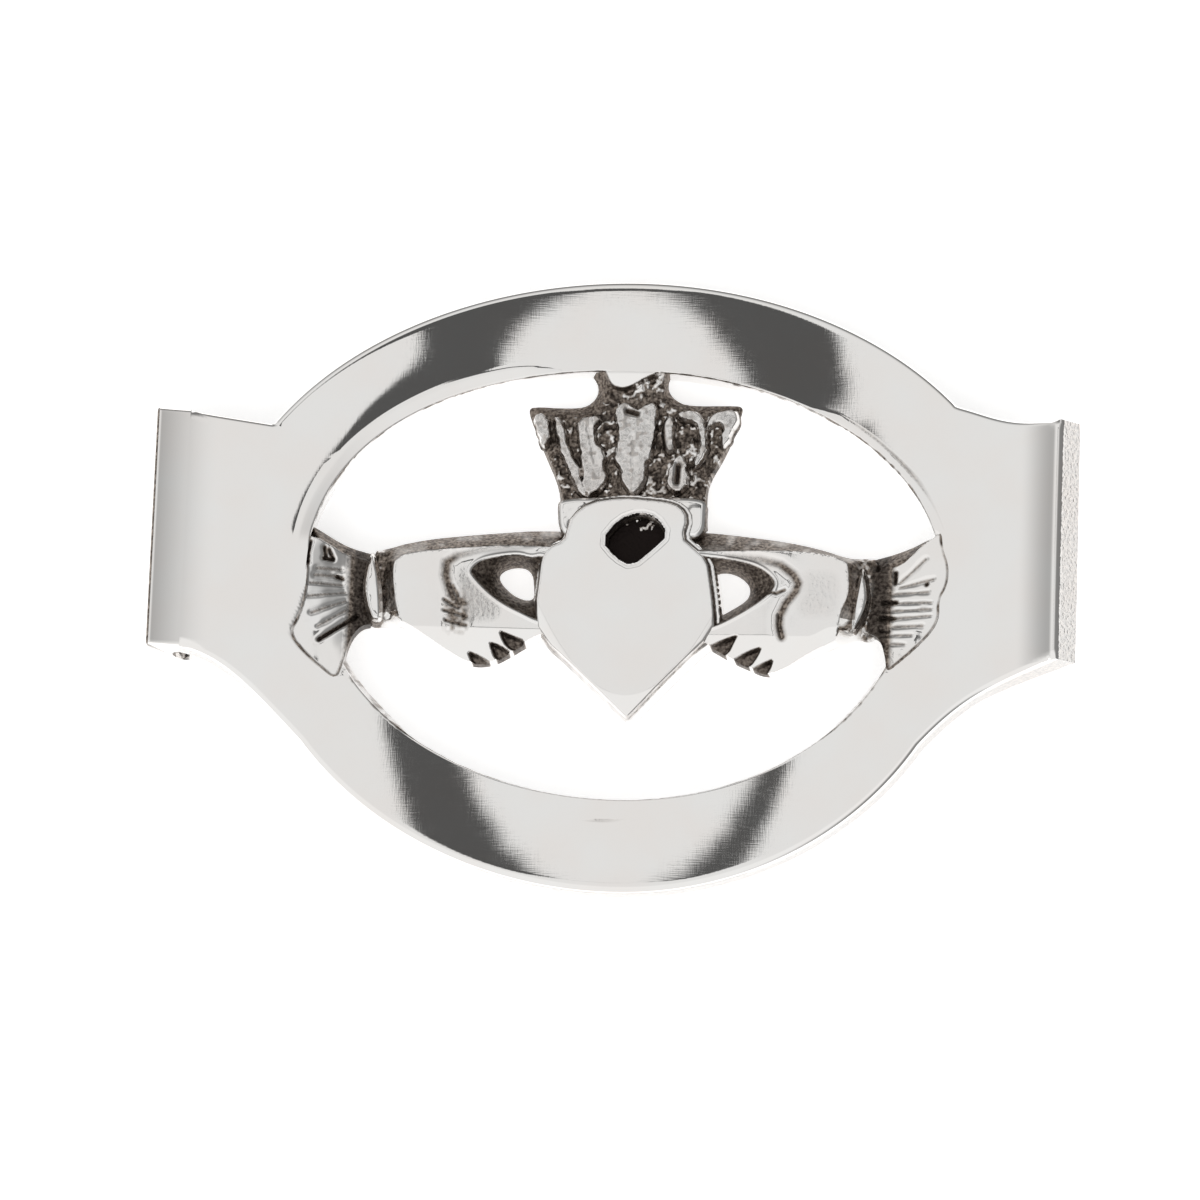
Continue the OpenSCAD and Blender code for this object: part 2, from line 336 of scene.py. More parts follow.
def outer_edge(d, x_end):
    """The outer edge drawn in by d, anticlockwise from the open end's lower corner, in stretches that
    each come with the window's angles at their two ends."""
    top, low, b = TAB_TOP - d, TAB_LOW + d, HALF_H - d
    right_top = ellipse_arc(UPPER_RIGHT - d, b, 36, 90, 70)
    left_top = ellipse_arc(UPPER_LEFT - d, b, 90, 150.6, 80)
    left_low = ellipse_arc(LOWER_LEFT - d, b, 213, 270, 70)
    right_low = ellipse_arc(LOWER_RIGHT - d, b, 270, 329, 70)
    tab_top_right, notch = np.array((24.6, top + 0.1)), left_top[-1]
    stretches = [
        (line((x_end, low), (x_end, top), 50), -25, 28),
        (line((x_end, top), tab_top_right, 14), 28, 31),
        (bezier(tab_top_right, (22.6, top + 0.2), (21.6, top + 0.8), right_top[0], 22), 31, 38),
        (right_top, 38, 90),
        (left_top, 90, 148),
        (line(notch, (FOLD_X, top), 22), 148, 153),
        (line((FOLD_X, top), (FOLD_X, low), 50), 153, 206),
        (bezier((FOLD_X, low), (-22.8, low - 0.4), (-21.2, low - 2), left_low[0], 26), 206, 214),
        (left_low, 214, 270),
        (right_low, 270, 327),
        (bezier(right_low[-1], (20.6, low - 2.2), (22.6, low - 0.9), (26.4, low), 24), 327, 333),
        (line((26.4, low), (x_end, low), 5), 333, 335),
    ]
    points = np.concatenate([s[:-1] for s, _, _ in stretches])
    angles = np.concatenate([np.linspace(a, b, len(s))[:-1] for s, a, b in stretches])
    seam_first = sum(len(s) - 1 for s, _, _ in stretches[:6])
    return points, angles, (seam_first, seam_first + len(stretches[6][0]) - 1)


def window_edge(d, angles):
    """The window's edge, widened by d, at these angles. Its upper and lower halves differ in length and
    run together under the cuffs."""
    t = np.radians(angles)
    cos, sin = np.cos(t), np.sin(t)
    upper, right = sin >= 0, cos >= 0
    half = np.where(right, np.where(upper, *WINDOW_RIGHTS), np.where(upper, *WINDOW_LEFTS)) + d
    below = np.degrees(np.arcsin(np.clip(-sin, 0, 1)))
    change = np.where(right, WINDOW_RIGHTS[0] - WINDOW_RIGHTS[1], WINDOW_LEFTS[0] - WINDOW_LEFTS[1])
    half = half + np.where(upper, 0, change * (1 - ramp(below, 0, CUFF_ANGLE)))
    power = np.where(upper & ~right, 2 / SQUARENESS, 1.0)
    across = np.sign(cos) * np.abs(cos) ** power
    up = np.sign(sin) * np.abs(sin) ** power
    return np.stack([RIM_X + half * across, (WINDOW_H + d) * up], 1)


def apart(x, y):
    """0 where the motif runs flush into the rim's inner edge, 1 elsewhere: at the crown's neck, and
    where the cuffs' flutes start."""
    neck = ramp(x, -1.0, -0.6) * ramp(x, 2.6, 2.2) * ramp(y, 9, 11)
    left = ramp(x, -12, -14) * ramp(y, 2.6, 1.4) * ramp(y, -6.3, -5.9)
    right = ramp(x, 12, 14) * ramp(y, 4.4, 2.4) * ramp(y, -5.0, -4.6)
    return 1 - np.clip(neck + left + right, 0, 1)


def ring(outer, inner, inner_low, seam, round_outer, round_inner, face, edge_row):
    """A closed ring between two loops of as many points. face(x, y, distance from inner) is the height
    of its top. Rows run over the top from inner to outer, down, and back underneath."""
    open_outer = np.concatenate([outer[seam[1]:], outer[: seam[0] + 1]])
    steps = np.array([0, 0.02, 0.05, 0.09, 0.15, 0.24, 0.38, 0.6])
    reach = np.linalg.norm(outer - inner, axis=1)[:, None]
    near = steps[None, :].repeat(len(outer), 0)
    middle = 0.6 + (reach - 1.2) * np.linspace(0, 1, edge_row)[None, 1:-1]
    along = np.concatenate([near, middle, reach - near[:, ::-1]], 1) / reach
    top = inner[:, None] + (outer - inner)[:, None] * along[..., None]
    x, y = top[..., 0], top[..., 1]
    e = distance(inner, x, y, closed=True)
    o = distance(open_outer, x, y)
    h = face(x, y, e) - worn_edge(e, round_inner) * apart(x, y) - worn_edge(o, round_outer)
    tops = np.stack([x, y, h], -1)
    wall = np.linspace(0, 1, 6)[1:-1]
    outer_low = np.concatenate([outer, np.zeros((len(outer), 1))], 1)
    inner_low = np.concatenate([inner_low, np.zeros((len(inner), 1))], 1)
    down = tops[:, -1:] + (outer_low[:, None] - tops[:, -1:]) * wall[None, :, None]
    back = np.linspace(0, 1, 12)
    under = outer_low[:, None] + (inner_low - outer_low)[:, None] * back[None, :, None]
    up = inner_low[:, None] + (tops[:, :1] - inner_low[:, None]) * wall[None, :, None]
    rows = np.concatenate([tops, down, under, up], 1)
    faces = grid_faces(len(outer), rows.shape[1], True, True)
    return rows, [f[::-1] for f in faces]


def window_depth(x, y):
    """How far inside the window's edge a point lies."""
    return -outline(window_edge(0, np.linspace(0, 358, 180)), x, y, rounds=0)


def front_face_height(x, y, e):
    """The front face over the plate's underside at distance e from the window: crowned, curled up at
    the fold, bevelled along the window's upper edge and a trace higher beside that bevel."""
    angle = np.degrees(np.arctan2(y / WINDOW_H, (x - RIM_X) / WINDOW_LEFTS[0]))
    left = ramp(angle, 92, 112) * (1 - ramp(angle, 178, 184))
    right = ramp(angle, 62, 45) * ramp(angle, 2, 10)
    slope = left * (0.040 * ramp(angle, 112, 138) - 0.003 * ramp(angle, 155, 165)) + 0.014 * right
    reach = 1.5 - 0.6 * ramp(angle, 125, 158) - 0.55 * ramp(angle, 164, 177)
    beyond = e - (BEVEL_LEFT * left + BEVEL_RIGHT * right)
    rise = slope * reach * np.exp(-np.clip(beyond, 0, None) / reach)
    bevel = BEVEL_SLOPE * np.clip(-beyond, 0, None) * np.clip(left + right, 0, 1)
    curl = 0.5 * CURL * np.clip(CURL_X - x, 0, None) ** 2
    ripple = 0.0014 * noise(x, y, 4.0, 3) + 0.0003 * noise(x, y, 1.3, 5)
    return FRONT_T - y * y / (2 * CROWNING) + (rise - bevel) * apart(x, y) + curl + ripple


def under_cuffs(x, y):
    """How far the face is cut down where a cuff lies over it."""
    d = np.minimum(outline(LEFT_CUFF["edge"], x, y), outline(RIGHT_CUFF["edge"], x, y))
    return CUFF_SEAT * ramp(-d, 0.05, 0.4)


def front_oxide_and_shade(x, y, h, e):
    """Oxide on the front plate: round the window, along its bevel and as a smudge; and painted shade on its
    outer walls, which also dulls them.
    """
    dirt = ramp(0.6 * noise(x, y, 0.7, 8) + 0.5 * noise(x, y, 0.23, 9), -0.25, 0.5)
    on_face = h > 1.4
    inner_wall = (h < 1.6) & (h > 0.02) & (e < 0.6)
    outer_wall = (h < 1.5) & (e > 0.7)
    corners = ramp(y, -3, -4.5) * ramp(np.abs(x - RIM_X), 11.5, 13.5)
    # painted shade: the outer walls all round, the lip's end among them, are darkened
    walls = 0.55 * inner_wall * corners * (0.5 + 0.5 * dirt) + 0.28 * outer_wall
    thick = 0.06 + 0.14 * corners + 0.09 * ramp(x, 13, 16) * ramp(y, 2, 3)
    arris = (1 - ramp(e, 0.3 * thick, thick)) * (0.3 + 0.7 * dirt) * apart(x, y)
    bevel_line = bump_at(e - BEVEL_RIGHT, 0.04) * ramp(x, 12, 15) * ramp(y, 2.4, 3.5)
    smudge = bump_at(x, 1.2) * bump_at(y + 14.15, 0.1)
    marks = np.maximum.reduce([0.65 * arris, 0.5 * bevel_line, 0.3 * smudge])
    return np.maximum(walls, marks * on_face)


def front_frame():
    outer, angles, seam = outer_edge(0, LIP_END)
    inner = window_edge(0, angles)
    t = np.radians(angles)
    lean = WINDOW_LEAN * (ramp(angles, 190, 204) * ramp(angles, 236, 216) + ramp(angles, 306, 322))
    inner_low = inner - lean[:, None] * np.stack([np.cos(t), np.sin(t)], 1)

    def face(x, y, e):
        return front_face_height(x, y, e) - under_cuffs(x, y)

    rows, faces = ring(outer, inner, inner_low, seam, FRONT_ROUND, FRONT_ROUND_INNER, face, 30)
    x, y, h = rows.reshape(-1, 3).T
    oxide_and_shade = front_oxide_and_shade(x, y, h, distance(inner, x, y, closed=True))
    piece = add_mesh("front_frame_visual", to_clip(rows.reshape(-1, 3)), faces, polished_silver(), oxide_and_shade)
    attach(piece, "front")
    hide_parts("front_frame")
    return piece


def rear_leaf():
    outer, angles, seam = outer_edge(REAR_INSET, rear_high[0])
    inner = window_edge(REAR_INSET, angles)

    def face(x, y, e):
        return np.full(np.shape(x), REAR_T)

    rows, faces = ring(outer, inner, inner, seam, REAR_ROUND, REAR_ROUND, face, 14)
    piece = add_mesh("rear_leaf_visual", rows.reshape(-1, 3), faces, satin_silver())
    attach(piece, "rear")
    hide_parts("rear_leaf")
    return piece


FACE_SLOPE = (RIM_X - FOLD_X) / DISH_R + CURL * (CURL_X - FOLD_X)  # of the front face where the fold starts
FACE_CURVE = 1 / DISH_R + CURL
FOLD_STATIONS = 60  # sections across the clip
FOLD_ROUND = 0.22  # radius of the fold's side edges
FOLD_TOP, FOLD_BULGE = 3.2, 2.3  # heights of its upper end and of its leftmost point
FAR = 7.0  # from the window, past its bevel


def fold_section(y, drop):
    """The fold's outline at y, as x and z. drop is how far its side edge is rounded off there."""
    face = front_face_height(np.array(FOLD_X), np.array(y), np.array(FAR))
    top = to_clip([[FOLD_X, y, float(face) - drop]])[0][[0, 2]]
    under = to_clip([[FOLD_X, y, 0]])[0][[0, 2]]
    run = np.linspace(0, FOLD_X - LEFT_END - 0.34, 14)
    over = np.stack([top[0] - run, top[1] + FACE_SLOPE * run + 0.5 * FACE_CURVE * run * run], 1)
    corner = over[-1]
    arris = np.array((LEFT_END + 0.16 + 0.3 * drop, corner[1] - 0.3))
    bulge = np.array((LEFT_END + 0.4 * drop, FOLD_BULGE))
    low = np.array((FOLD_X, 0.4 * drop))
    inner_low = np.array((FOLD_X, REAR_T - 0.4 * drop))
    return np.concatenate([
        over[:-1],
        bezier(corner, corner + (-0.1, 0.03), arris + (0.0, 0.12), arris, 8)[:-1],
        bezier(arris, arris - (0.05, 0.7), bulge + (0, 0.8), bulge, 10)[:-1],
        bezier(bulge, bulge - (0, 1.5), low - (1.3, 0), low, 18),
        bezier(inner_low, inner_low - (0.75, 0), under - (0.85, 0.1), under, 16),
    ])


def spring_fold():
    """The bend: a strip from the front plate's end round to the rear leaf's."""
    stations = 0.5 - 0.5 * np.cos(np.linspace(0, math.pi, FOLD_STATIONS))
    rows = []
    for y in TAB_LOW + (TAB_TOP - TAB_LOW) * stations:
        drop = float(worn_edge(min(y - TAB_LOW, TAB_TOP - y), FOLD_ROUND))
        x, z = fold_section(y, drop).T
        rows.append(np.stack([x, np.full(len(x), y), z], 1))
    width = len(rows[0])
    faces = grid_faces(FOLD_STATIONS, width, False, True)
    caps = [list(range(width)), [(FOLD_STATIONS - 1) * width + k for k in reversed(range(width))]]
    along = np.arange(width)
    # painted dark reflection along the fold's arris, and a lighter painted shade over the bend beyond it
    on_arris = (along >= 14) & (along <= 17)
    oxide_and_shade = np.tile(np.where(on_arris, 0.6, np.where(along > 17, 0.2, 0.0)), FOLD_STATIONS)
    points = np.concatenate(rows)
    piece = add_mesh("spring_fold_visual", points, faces + caps, polished_silver(), oxide_and_shade)
    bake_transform(piece)
    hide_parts("spring_fold")
    return piece


# ---- the motif


def fall(d_face, d_edge, power=1.5):
    """1 on a face, falling to 0 at the silhouette: the sloping side between the two."""
    out, left = np.clip(d_face, 0, None), np.clip(-d_edge, 0, None)
    return (left / np.maximum(out + left, 1e-6)) ** power


CROWN_EDGE = [(-2.2, 13.4), (-1.7, 12.9), (-1.3, 12.2), (-1.45, 11.5), (-2.1, 10.95), (-3.4, 10.9),
    (-4.9, 10.95), (-5.45, 10.85), (-5.2, 10.0), (-4.25, 7.8), (-3.5, 6.2), (-3.28, 4.9), (-3.3, 2.6),
    (5.45, 2.6), (5.25, 5.35), (5.4, 6.5), (6.2, 7.9), (6.85, 9.5), (7.1, 10.5), (7.25, 11.15), (6.6, 11.2),
    (4.0, 11.15), (3.2, 11.5), (2.75, 12.1), (2.8, 12.8), (3.3, 13.4)]
CROWN_GROUND = [(-1.1, 13.6), (-0.75, 12.6), (-0.8, 11.6), (-1.1, 10.75), (-1.8, 10.15), (-4.5, 10.1),
    (-4.85, 9.9), (-4.2, 8.1), (-3.35, 6.1), (-3.0, 4.6), (-3.0, 2.0), (5.2, 2.0), (5.15, 5.35), (5.5, 6.3),
    (6.3, 8.4), (6.75, 10.2), (6.3, 10.4), (3.4, 10.55), (2.6, 11.3), (2.55, 12.2), (2.6, 13.6)]
RIM_LOBE = [(-1.3, 13.8), (-1.05, 13.1), (-0.8, 12.5), (-0.46, 11.95), (0.4, 11.8), (1.5, 12.45),
    (2.5, 12.85), (2.9, 13.8)]


BACK_H = 0.25  # lowest edge of the sloping sides
GROUND_H = 1.1  # the crown's ground
LEAF_H, LEAF_RISE = 1.25, 0.68  # foot of the crown's leaves and how far they stand up
BAND_H, HEART_H = 1.95, 2.3
CLEFT_H = 1.15
SHIFT = (0.13, 0.02)  # the heart's foot against its face, which slopes out
FLARE = 0.26  # and how much wider the foot is


def crown_plate_shape(x, y):
    """The crown's rough ground, its sloping sides, and the lobe of rim that reaches into it."""
    edge = outline(CROWN_EDGE, x, y)
    ground = outline(CROWN_GROUND, x, y)
    lobe = outline(RIM_LOBE, x, y)
    relief_grain = grain(x, y, 21)
    top = BACK_H + (GROUND_H - BACK_H + 0.16 * relief_grain) * fall(ground, edge, 0.8)
    on_lobe = 1 - ramp(lobe, -0.12, 0.06)
    depth = window_depth(x, y)
    rim = front_face_height(x, y, np.abs(depth))
    top = top * (1 - on_lobe) + (rim - 0.3 * ramp(depth, 0.0, 1.3)) * on_lobe
    top = top - 0.3 * ramp(y, 3.4, 2.8) - 0.03 * ramp(depth, 0.02, -0.03)
    wall = ramp(ground, -0.05, 0.1)
    peaks = ramp(relief_grain, 0.15, 0.5) * (1 - wall)
    ground_patina = 0.78 + 0.2 * noise(x, y, 0.35, 5) - 0.6 * peaks
    oxide_and_shade = (ground_patina * (1 - wall) + 0.6 * wall) * (1 - ramp(-lobe, 0.05, 0.16))
    return np.minimum(-edge, depth + 0.05), top, np.clip(oxide_and_shade, 0, 1)


FLEURS = [
    [(-5.0, 10.1), (-4.45, 10.2), (-4.1, 9.7), (-4.05, 8.6), (-4.4, 8.05), (-4.75, 9.1)],
    [(-3.85, 9.9), (-3.5, 10.0), (-3.05, 9.1), (-2.95, 8.1), (-2.2, 7.0), (-2.05, 6.1), (-1.6, 5.15),
     (-2.1, 5.3), (-2.6, 6.4), (-3.3, 7.9)],
    [(-2.45, 10.0), (-2.2, 8.4), (-2.05, 7.0), (-1.9, 5.6), (-1.5, 5.15), (-0.5, 6.3), (-0.8, 7.0),
     (-0.75, 8.1), (-1.3, 8.5), (-1.45, 9.3), (-1.0, 10.15)],
    [(-0.25, 10.4), (0.1, 9.3), (0.0, 8.2), (-0.15, 7.4), (0.35, 7.0), (0.25, 6.35), (0.7, 5.6),
     (1.1, 5.4), (1.35, 5.7), (1.75, 6.4), (1.65, 7.3), (2.0, 7.7), (2.05, 8.3), (2.25, 9.3),
     (2.25, 10.5), (2.1, 11.0), (1.6, 10.95), (1.3, 10.5), (0.7, 10.85), (0.2, 10.95)],
    [(2.85, 10.2), (2.55, 9.1), (2.95, 8.0), (3.45, 8.15), (3.2, 9.2), (3.3, 10.1)],
    [(3.6, 7.9), (2.9, 6.4), (3.25, 5.7), (3.65, 5.5), (4.35, 6.2), (4.05, 7.6)],
    [(5.2, 9.4), (5.3, 10.05), (5.8, 10.4), (6.9, 10.7), (7.1, 10.1), (6.8, 9.2), (6.35, 8.3),
     (6.15, 8.8), (6.3, 9.6), (5.9, 9.95)],
    [(3.45, 10.2), (3.6, 10.5), (4.4, 10.6), (5.0, 10.2), (5.3, 9.1), (5.3, 7.9), (4.7, 7.15),
     (4.6, 7.5), (4.95, 8.2), (4.85, 9.2), (4.5, 9.95), (3.9, 10.05)],
]
FLEUR_DENTS = [[(0.55, 10.45), (1.1, 10.3)], [(3.65, 7.2), (3.6, 6.2)], [(2.6, 9.8), (2.75, 8.3)],
    [(-1.75, 9.4), (-1.2, 7.2)], [(0.9, 8.9), (1.0, 7.0)]]
DENT_DEPTHS = [0.3, 0.3, 0.2, 0.06, 0.05]


def fleurs_shape(x, y):
    """The crown's leaves, swelling up from its ground."""
    d = np.min([outline(f, x, y, rounds=1) for f in FLEURS], axis=0) - 0.13 - 0.07 * noise(x, y, 0.3, 30)
    swell = ramp(-d, 0.0, 0.2)
    top = LEAF_H + LEAF_RISE * swell + 0.03 * noise(x, y, 0.9, 31) * swell + 0.015 * grain(x, y, 33)
    oxide_and_shade = 0.19 + 0.6 * (1 - ramp(-d, 0.0, 0.08)) + 0.2 * ramp(noise(x, y, 0.25, 34), 0.1, 0.6)
    for stroke, depth in zip(FLEUR_DENTS, DENT_DEPTHS):
        near = bump_at(distance(stroke, x, y), 0.17)
        top = top - depth * near
        oxide_and_shade = np.maximum(oxide_and_shade, near * (depth > 0.1))
    return -d, top, oxide_and_shade


BAND = [(-3.35, 5.0), (-3.4, 4.4), (-3.25, 3.1), (-2.5, 2.7), (0.5, 3.5), (4.5, 2.7), (5.35, 3.1),
    (5.4, 4.4), (5.4, 5.15), (4.2, 5.3), (2.6, 5.2), (0.6, 5.3), (-1.2, 5.2), (-2.4, 5.15)]


def heart_foot(x, y):
    """Signed distance to the heart's outline at its foot."""
    return outline(HEART, x - SHIFT[0], y - SHIFT[1], rounds=1) - FLARE


def band_shape(x, y):
    """The crown's band: rounded, falling away sideways, and cut off where the heart stands."""
    d = outline(BAND, x, y)
    top = BAND_H - worn_edge(-d, 0.3) - 0.10 * np.abs(x - 1.0) / 4 + 0.02 * noise(x, y, 0.7, 41)
    oxide_and_shade = (1 - ramp(-d, 0.02, 0.1)) * 0.6
    return np.minimum(-d, heart_foot(x, y) + 0.2), top, oxide_and_shade


HEART = [(-3.85, 2.05), (-2.9, 2.45), (-2.75, 3.2), (-2.55, 3.95), (-1.5, 4.85), (0.44, 5.16), (1.9, 5.06),
    (3.07, 4.96), (3.95, 4.65), (4.4, 3.94), (4.1, 2.75), (4.7, 2.25), (5.62, 1.45), (5.85, 0.2),
    (6.1, -1.4), (6.2, -2.85), (3.7, -5.4), (1.55, -7.75), (1.15, -8.15), (0.75, -7.8), (-1.5, -5.7),
    (-4.25, -3.2), (-4.5, -1.55), (-4.35, 0.0), (-4.25, 1.3)]
CLEFT = [(-0.65, 2.5), (0.3, 3.75), (1.5, 4.2), (2.5, 3.95), (3.2, 2.9), (2.3, 2.0), (1.15, 1.0),
    (0.2, 1.5)]


def heart_shape(x, y):
    """A flat face in a sunk dark line, a facet at the point, and the cleft cut deep into it."""
    face = outline(HEART, x, y, rounds=1)
    point = ramp(y, -2.5, -4.5)
    edge = heart_foot(x, y) + 0.14 * point
    cleft = outline(CLEFT, x, y, rounds=1) - 0.05
    top = HEART_H - 0.35 * ramp(face, -0.06, 0.12) - 0.35 * ramp(-edge, 0.12, 0.0)
    facet = -6.75 + 0.19 * (x - 1.0) ** 2 - y
    top = top - 0.12 * np.clip(facet, 0, None) - worn_edge(np.clip(-face, 0, None), 0.14) * (face < 0)
    line_near = bump_at(face - 0.02, 0.07)
    top = top - 0.14 * line_near
    sunk = 1 - ramp(cleft, -0.16, 0.0)
    top = top * (1 - sunk) + (CLEFT_H + 0.01 * grain(x, y, 51)) * sunk
    top = top - 0.03 * bump_at(cleft - 0.1, 0.09)
    darkening = (0.75 + 0.25 * noise(x, y, 0.6, 52)) * (1 - 0.4 * point)
    oxide_and_shade = np.maximum(0.85 * darkening * line_near, sunk)
    return -edge, top, np.clip(oxide_and_shade, 0, 1)


LEFT_HAND = dict(
    wrist=-13.4, knee_y=-2.95, turn_x=-9.6, seed=61,
    shadow=(-7.9, -0.9), tone=0.17, mottled=(-9.15, -2.05),
    edge=[(-14.2, 1.7), (-13.6, 1.85), (-13.1, 2.05), (-12.5, 2.3), (-10.8, 2.7), (-8.75, 2.98),
        (-5.3, 3.34), (-3.3, 3.46), (-2.4, 3.46), (-2.4, -3.0), (-4.1, -3.15), (-4.9, -3.6), (-5.8, -4.2),
        (-6.7, -4.74), (-7.7, -4.95), (-8.7, -4.75), (-9.75, -4.15), (-10.8, -3.5), (-11.8, -2.9),
        (-12.6, -2.55), (-13.5, -2.75), (-14.2, -2.5)],
    face=[(-12.95, 0.7), (-12.6, 1.17), (-12.0, 1.45), (-10.7, 1.68), (-8.65, 1.9), (-6.9, 2.07),
        (-5.2, 2.12), (-3.5, 2.02), (-1.5, 2.0), (-1.5, -4.2), (-4.1, -3.6), (-7.7, -6.2), (-11.0, -4.5),
        (-12.3, -3.2), (-12.45, -2.4), (-12.75, -1.0)],
    eye=[(-8.45, 0.55), (-7.9, 1.15), (-7.0, 1.42), (-5.6, 1.62), (-4.8, 1.4), (-4.2, 1.6), (-3.4, 1.2),
        (-3.4, -2.6), (-4.5, -2.35), (-5.1, -2.05), (-6.3, -1.5), (-7.3, -0.8), (-8.2, 0.1)],
    hole=[(-6.8, 0.67), (-6.2, 1.1), (-5.3, 1.18), (-4.8, 0.8), (-4.68, -0.1), (-4.65, -0.74),
        (-5.15, -0.87), (-5.9, -0.56), (-6.6, 0.1)],
    groove=[(-4.8, 2.25), (-6.4, 2.1), (-7.9, 1.85), (-9.1, 1.5), (-9.75, 1.0), (-9.8, 0.2), (-9.55, -0.6),
        (-9.3, -1.2)],
    creases=[[(-9.8, -1.25), (-9.4, -1.5), (-9.0, -1.7)], [(-9.8, -1.9), (-9.2, -2.0), (-8.5, -2.2)],
        [(-9.7, -2.5), (-9.0, -2.65), (-8.5, -2.75)], [(-9.4, -0.4), (-9.1, -0.9), (-8.9, -1.5)]],
    gaps=[
        [(-6.6, -2.95), (-5.9, -3.2), (-4.9, -3.55), (-5.2, -4.3), (-5.9, -4.1), (-6.3, -3.7)],
        [(-7.15, -3.6), (-6.4, -3.85), (-5.75, -4.25), (-6.2, -5.0), (-6.8, -4.6), (-7.0, -4.1)],
        [(-8.45, -4.15), (-7.6, -4.45), (-6.8, -4.95), (-7.5, -5.5), (-8.1, -4.95)],
    ],
)

RIGHT_HAND = dict(
    wrist=14.55, knee_y=-3.1, turn_x=10.7, shadow=(12.2, -0.6), tone=0.13, mottled=None, seed=71,
    edge=[(15.6, 1.75), (14.9, 1.8), (13.6, 1.95), (12.2, 2.45), (10.0, 2.95), (6.6, 3.35), (5.4, 3.45),
        (4.0, 3.45), (4.0, -3.2), (5.4, -3.4), (6.2, -3.85), (7.2, -4.42), (8.1, -4.8), (9.0, -5.2),
        (10.0, -5.1), (11.8, -4.0), (13.5, -3.2), (14.35, -2.85), (15.0, -3.1), (15.6, -2.7)],
    face=[(13.9, 1.0), (13.8, 1.4), (12.4, 1.88), (10.0, 2.05), (8.2, 2.03), (6.6, 1.98), (5.0, 1.95),
        (3.0, 1.95), (3.0, -4.0), (6.0, -4.6), (9.3, -6.4), (12.0, -4.8), (13.2, -3.9), (13.4, -2.6),
        (13.5, -1.5), (14.0, -0.6)],
    eye=[(4.5, 1.75), (6.1, 1.62), (7.5, 1.45), (8.7, 1.1), (9.6, 0.4), (9.7, -0.2), (8.9, -0.95),
        (7.6, -1.8), (6.2, -2.55), (4.8, -2.9), (4.5, -2.0)],
    hole=[(5.75, 0.8), (6.3, 1.1), (7.1, 0.98), (7.75, 0.55), (8.05, 0.0), (7.85, -0.6), (7.1, -1.1),
        (6.0, -1.75), (5.5, -2.0), (5.5, -1.2), (5.55, 0.2)],
    groove=[(6.9, 1.75), (8.7, 1.6), (9.9, 1.25), (10.7, 0.6), (11.0, 0.1), (10.85, -0.4), (10.3, -1.1),
        (9.95, -1.9), (9.95, -2.5), (10.1, -3.1)],
    creases=[[(9.0, -0.4), (9.7, -0.5), (10.2, -0.3)], [(9.95, -1.8), (9.92, -2.5), (10.1, -3.1)]],
    gaps=[
        [(7.6, -2.95), (6.8, -3.2), (5.6, -3.75), (6.3, -4.4), (7.0, -4.1), (7.3, -3.5)],
        [(9.0, -3.6), (8.1, -3.9), (7.1, -4.5), (7.6, -5.1), (8.3, -4.8), (8.75, -4.2)],
        [(9.7, -4.25), (8.9, -4.6), (8.2, -5.0), (8.8, -5.7), (9.4, -5.1)],
    ],
)

HAND_LOW, HAND_H = 0.35, 2.1  # foot of the dark side above a hand, and the hand's back
WRIST_H = 1.25  # the dark ground at the wrist
EYE_H = 0.3  # the opening's lowest edge, under the thumb
KNEE_SLOPE, SIDE_SLOPE = 0.33, 0.028  # of the fingers below the knee, and of the back towards the heart


def rounded_step(v, softness):
    """0 for negative v and v for positive v, with the corner between them rounded."""
    return 0.5 * (v + np.sqrt(v * v + softness))


def patch(x, y, middle, half_width, half_height):
    """1 inside a soft-edged rectangle, 0 outside."""
    return np.exp(-(((x - middle[0]) / half_width) ** 4) - ((y - middle[1]) / half_height) ** 4)


